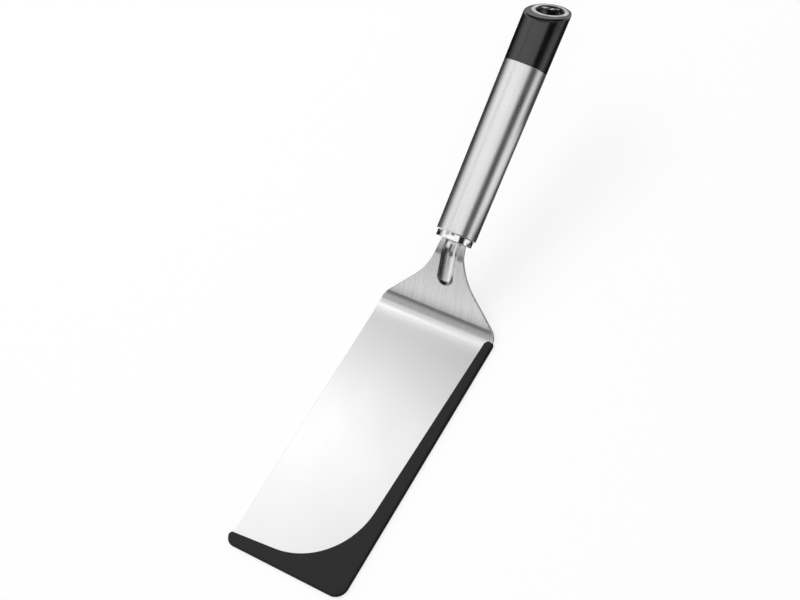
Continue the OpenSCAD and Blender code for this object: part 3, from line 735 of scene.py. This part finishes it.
# Each card is named after what it hangs over or stands beside, and the low
# ones lie on the floor. Levels about 1 make the steel's white bands, and
# levels near 0 its dark ones.
card("card_over_blade", (-275, 445, 1200), (1075, 0, 0), (0, 405, 0), 1.38,
     ("Y", [(40, 0.77), (70, 0.77), (110, 0.83), (280, 1.0), (335, 0.83), (375, 0.62), (450, 0.48),
            (850, 0.50)]),
     ("X", [(-1350, 0.92), (-690, 1.02), (-600, 0.97), (-530, 0.78), (-470, 0.84), (-390, 0.75),
            (-270, 0.1), (800, 0.02)]))
card("card_over_handle", (-450, -255, 1200), (900, 0, 0), (0, 295, 0), 1.09,
     ("X", [(-1350, 0.90), (-690, 1.0), (450, 1.0)]))
card("card_over_bend", (-610, -185, 1190), (150, 0, 0), (0, 235, 0), 1.05,
     ("Y", [(-420, 1.0), (-375, 0.9), (-320, 0.57), (-120, 0.57), (7, 0.77), (50, 0.96)]),
     ("X", [(-760, 1.6), (-700, 1.0), (-520, 1.0), (-460, 1.6)]))
card("card_over_front", (-285, -325, 480), (150, 0, 0), (0, 175, 0), 1.0,
     ("Y", [(-500, 0.30), (-394, 0.34), (-241, 0.39), (-150, 0.50)]))
card("card_over_right", (40, -400, 480), (110, 0, 0), (0, 230, 0), 0.03)
card("card_front", (-350, -700, 352), (350, 0, 0), (0, 0, 347), 1.0,
     ("Z", [(5, 1.12), (215, 1.12), (262, 0.8), (298, 0.12), (420, 0.07), (540, 0.18), (699, 0.35)]),
     ("X", [(-700, 1.05), (-600, 1.05), (-435, 0.78), (-345, 1.0), (0, 1.0)]))
card("card_front_right", (740, -650, 402), (760, 0, 0), (0, 0, 397), 1.0,
     ("X", [(-20, 0.7), (120, 0.45), (380, 0.1), (560, 0.03), (1500, 0.02)]))
card("card_low_front_right", (775, -320, 1.5), (725, 0, 0), (0, 325, 0), 0.04)
card("card_low_edge_right", (44, -84, 0.2), (6.5, 0, 0), (0, 95, 0), 0.03)
card("card_low_edge_front", (-5, -173, 0.2), (42, 0, 0), (0, 11, 0), 0.03)
card("card_low_neck", (30, 15, 1.2), (20, 0, 0), (0, 25, 0), 0.05)
card("card_right", (600, 50, 270), (0, 270, 0), (0, 0, 250), 1.0,
     ("Z", [(20, 0.55), (130, 0.02), (420, 0.02), (520, 0.8)]))
card("card_right_cap", (590, 205, 540), (0, 115, 0), (0, 0, 140), 1.0,
     ("Z", [(400, 0.02), (600, 0.03), (680, 0.7)]))
card("card_low_right_cap", (430, 305, 1.5), (270, 0, 0), (0, 115, 0), 1.0,
     ("Y", [(190, 0.9), (215, 0.42), (420, 0.42)]))
card("card_left", (-650, 50, 250), (0, 350, 0), (0, 0, 248), 1.0,
     ("Z", [(2, 0.01), (80, 0.02), (130, 0.25), (250, 0.5), (350, 0.7), (498, 1.0)]))
card("card_low_left", (-330, 150, 1.5), (320, 0, 0), (0, 110, 0), 1.0,
     ("X", [(-650, 0.01), (-35, 0.01), (-10, 0.3)]))
card("card_low_right", (52, 82, 1.5), (47, 0, 0), (0, 40, 0), 1.0,
     ("X", [(5, 0.03), (36, 0.03), (62, 0.75), (99, 0.8)]),
     ("Y", [(42, 0.05), (48, 0.1), (60, 0.75), (75, 1.0), (122, 1.0)]))
card("card_low_cap", (80, 172, 1.5), (75, 0, 0), (0, 50, 0), 1.0,
     ("X", [(5, 0.02), (55, 0.02), (130, 0.5), (155, 0.55)]))
card("card_low_back", (-330, 480, 1.5), (320, 0, 0), (0, 220, 0), 1.0,
     ("Y", [(260, 0.03), (320, 0.06), (400, 0.8), (700, 0.9)]))
card("card_back", (100, 705, 430), (800, 0, 0), (0, 0, 320), 0.03)

world = emptied(bpy.data.worlds.new("studio"))
scene.world = world
strength = carried(world, looked_at(world), 0.5, 1.0)
sky = add(world, "Background", {"Color": (1, 1, 1, 1), "Strength": strength})
add(world, "OutputWorld", {"Surface": sky.outputs[0]})


def soft_lamp(name, place, aim, size, watts):
    """A round soft lamp at place, in metres, turned to aim. Reflections show
    the cards in its stead."""
    lamp = bpy.data.lights.new(name, "AREA")
    lamp.shape, lamp.size, lamp.energy = "DISK", size, watts
    stand = bpy.data.objects.new(name, lamp)
    stand.location = place
    stand.rotation_euler = (Vector(aim) - Vector(place)).to_track_quat("-Z", "Y").to_euler()
    stand.visible_glossy = False
    scene.collection.objects.link(stand)


soft_lamp("lamp_over", (-0.60, 0.25, 1.25), (0, -0.02, 0), 0.9, 10.0)
soft_lamp("lamp_fill", (0.7, -0.9, 1.1), (0, 0, 0.02), 0.8, 4.0)

# The camera as fitted to the photo: two of its directions, lens and place.
forward, up = Vector((-0.4468, 0.3218, -0.8348)), Vector((-0.3395, 0.8023, 0.4910))
lens = bpy.data.cameras.new("camera")
lens.lens, lens.sensor_width, lens.sensor_fit = 79.86, 36.0, "HORIZONTAL"
lens.clip_start, lens.clip_end = 0.05, 20.0
camera = bpy.data.objects.new("camera", lens)
turned_to = Matrix((forward.cross(up), up, -forward)).transposed().to_4x4()
turned_to.translation = Vector((0.40308, -0.30944, 0.80090))
camera.matrix_world = turned_to
scene.collection.objects.link(camera)
scene.camera = camera
